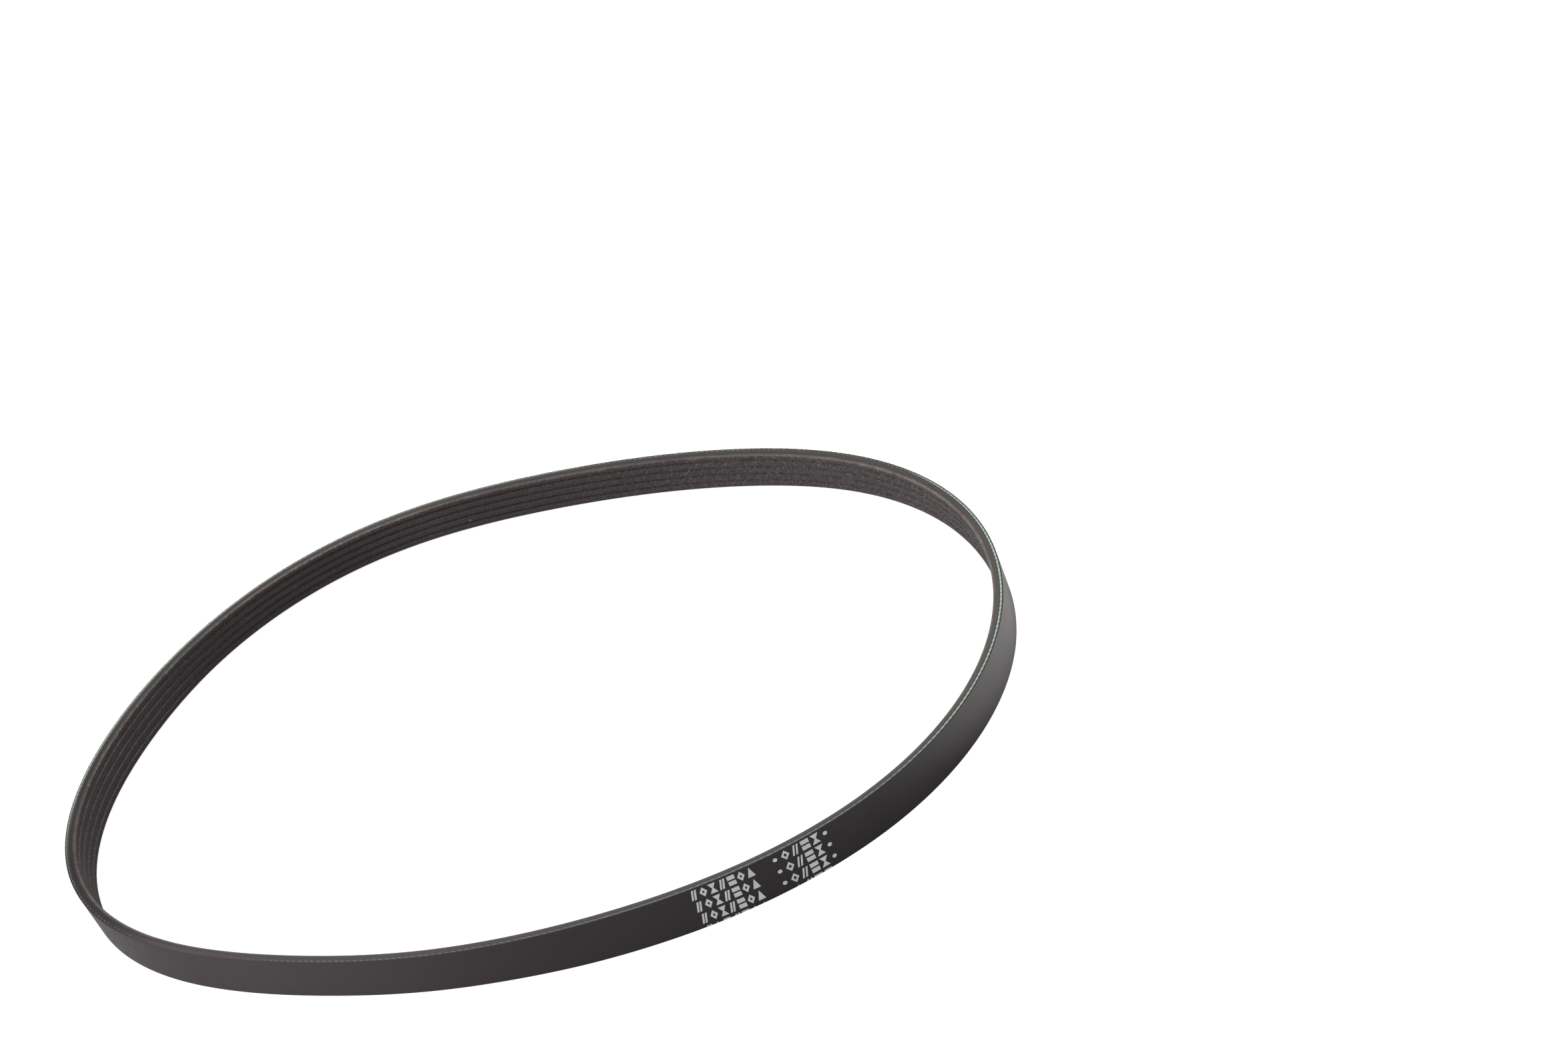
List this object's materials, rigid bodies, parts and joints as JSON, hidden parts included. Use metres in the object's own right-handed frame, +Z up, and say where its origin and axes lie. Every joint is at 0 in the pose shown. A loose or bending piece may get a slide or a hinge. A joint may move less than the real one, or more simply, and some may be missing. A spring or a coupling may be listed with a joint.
{
  "type": "serpentine belt",
  "caption": "Endless multi-rib rubber drive belt standing on its cut edge in a slack oval loop, ribs inside and smooth back outside.",
  "frame": {"origin": "middle of the loop's box, on the surface that the lower cut edge stands on", "axes": "+Z up across the belt's width, +X along the long way of the oval loop"},
  "size_m": [0.3976, 0.2944, 0.0178],
  "materials": {
    "rubber": "black satin rubber, ground brown-grey on the cut edges"
  },
  "bodies": {
    "root": {"belt": "rubber"}
  },
  "joints": []
}
